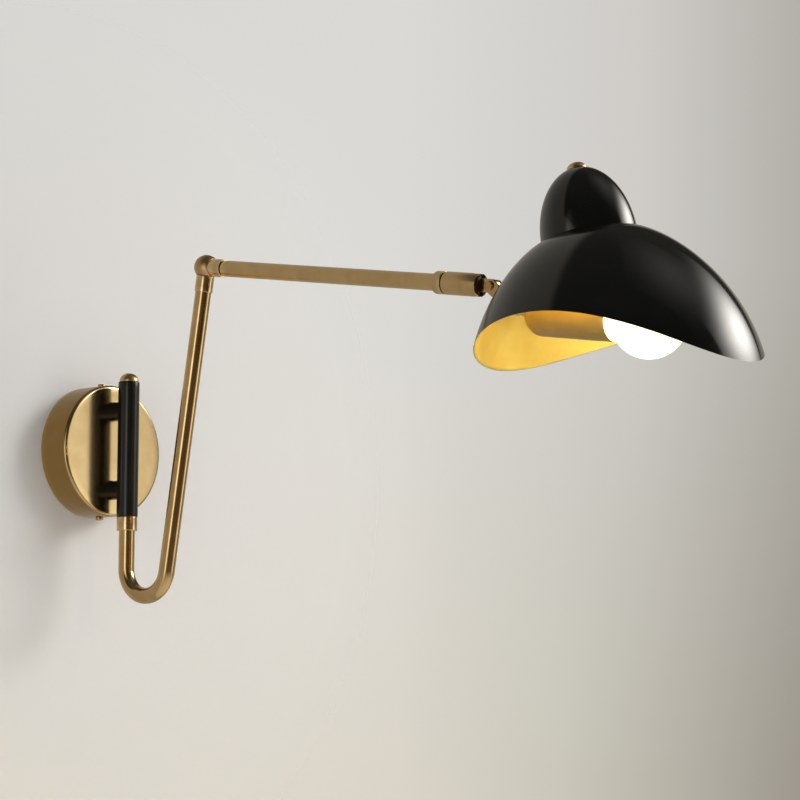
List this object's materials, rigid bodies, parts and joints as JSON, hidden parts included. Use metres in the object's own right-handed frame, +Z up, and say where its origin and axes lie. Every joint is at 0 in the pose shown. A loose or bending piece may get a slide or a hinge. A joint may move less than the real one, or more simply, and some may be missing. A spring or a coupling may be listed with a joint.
{
  "type": "articulated wall lamp",
  "caption": "Wall lamp with a round canopy, a swinging J arm, a ball elbow, a long upper arm and a spun shade that rolls and tilts over a screw-base bulb.",
  "frame": {"origin": "centre of the canopy's back, on the wall plane", "axes": "+Z up, the lamp reaches into the room along -Y, the wall lies at y = 0"},
  "size_m": [0.2058, 0.6971, 0.3323],
  "materials": {
    "zinc_steel": "satin zinc plate",
    "polished_brass": "satin polished brass",
    "antique_brass": "satin antique brass",
    "black_paint": "satin black paint",
    "black_shade": "gloss black paint outside, gold inside, on spun aluminium",
    "gold_inside": "satin gold",
    "white_plastic": "matte white",
    "flex_sheath": "matte sheath",
    "dark_fibre": "matte dark fibre",
    "bulb_metal": "satin",
    "opal_glass": "opal"
  },
  "bodies": {
    "wall_base": {"wall_bracket": "zinc_steel", "canopy": "polished_brass", "side_screws": "polished_brass", "terminal_block": "white_plastic", "earth_screw": "polished_brass", "upper_post": "black_paint", "lower_post": "black_paint", "post_washers": "zinc_steel", "post_nuts": "zinc_steel", "barrel": "black_paint", "upper_bush": "antique_brass", "lower_bush": "antique_brass", "base_flex": "flex_sheath"},
    "lower_arm": {"cap_washer": "white_plastic", "barrel_cap": "antique_brass", "swing_spindle": "zinc_steel", "collar_washer": "dark_fibre", "bottom_collar": "polished_brass", "lower_arm_tube": "antique_brass", "elbow_ferrule": "antique_brass", "elbow_spindle": "zinc_steel", "elbow_nut": "zinc_steel", "elbow_washer": "dark_fibre", "lower_flex": "flex_sheath"},
    "upper_arm": {"elbow_ball": "antique_brass", "arm_nipple": "zinc_steel", "arm_plug": "antique_brass", "upper_arm_tube": "antique_brass", "arm_end_collar": "antique_brass", "swivel_spindle": "zinc_steel", "swivel_nut": "zinc_steel", "swivel_washer": "dark_fibre", "upper_flex": "flex_sheath"},
    "swivel": {"swivel_sleeve": "antique_brass", "knuckle_tongue": "antique_brass", "tongue_pin": "zinc_steel"},
    "head": {"shade_fork": "antique_brass", "entry_nipple": "zinc_steel", "cup_tube": "antique_brass", "pivot_washers": "dark_fibre", "pivot_screw": "polished_brass", "pivot_nut": "polished_brass", "stem_flex": "flex_sheath", "outer_clamp_ring": "polished_brass", "inner_clamp_ring": "gold_inside", "clamp_nut": "gold_inside", "shade": "black_shade", "shade_finial": "polished_brass", "finial_nut": "gold_inside", "neck_nut": "dark_fibre", "cup_nut": "zinc_steel", "lampholder_cup": "gold_inside", "lampholder_body": "white_plastic", "thread_shell": "polished_brass", "centre_contact": "polished_brass", "bulb_cap": "bulb_metal", "bulb_globe": "opal_glass"}
  },
  "joints": [
    {"name": "arm_swing", "type": "hinge", "parent": "wall_base", "child": "lower_arm", "pos_m": [0, -0.05, 0], "axis": [0, 0, 1], "range_deg": [-80, 80]},
    {"name": "elbow_swivel", "type": "hinge", "parent": "lower_arm", "child": "upper_arm", "pos_m": [0, -0.146, 0.1565], "axis": [0, -0.165, 0.9863], "range_deg": [-90, 90]},
    {"name": "shade_roll", "type": "hinge", "parent": "upper_arm", "child": "swivel", "pos_m": [0, -0.4119, 0.112], "axis": [0, -0.9863, -0.165], "range_deg": [-175, 175]},
    {"name": "shade_tilt", "type": "hinge", "parent": "swivel", "child": "head", "pos_m": [0, -0.46516, 0.10309], "axis": [0.9986, -0.0086, 0.0516], "range_deg": [-60, 40]}
  ]
}
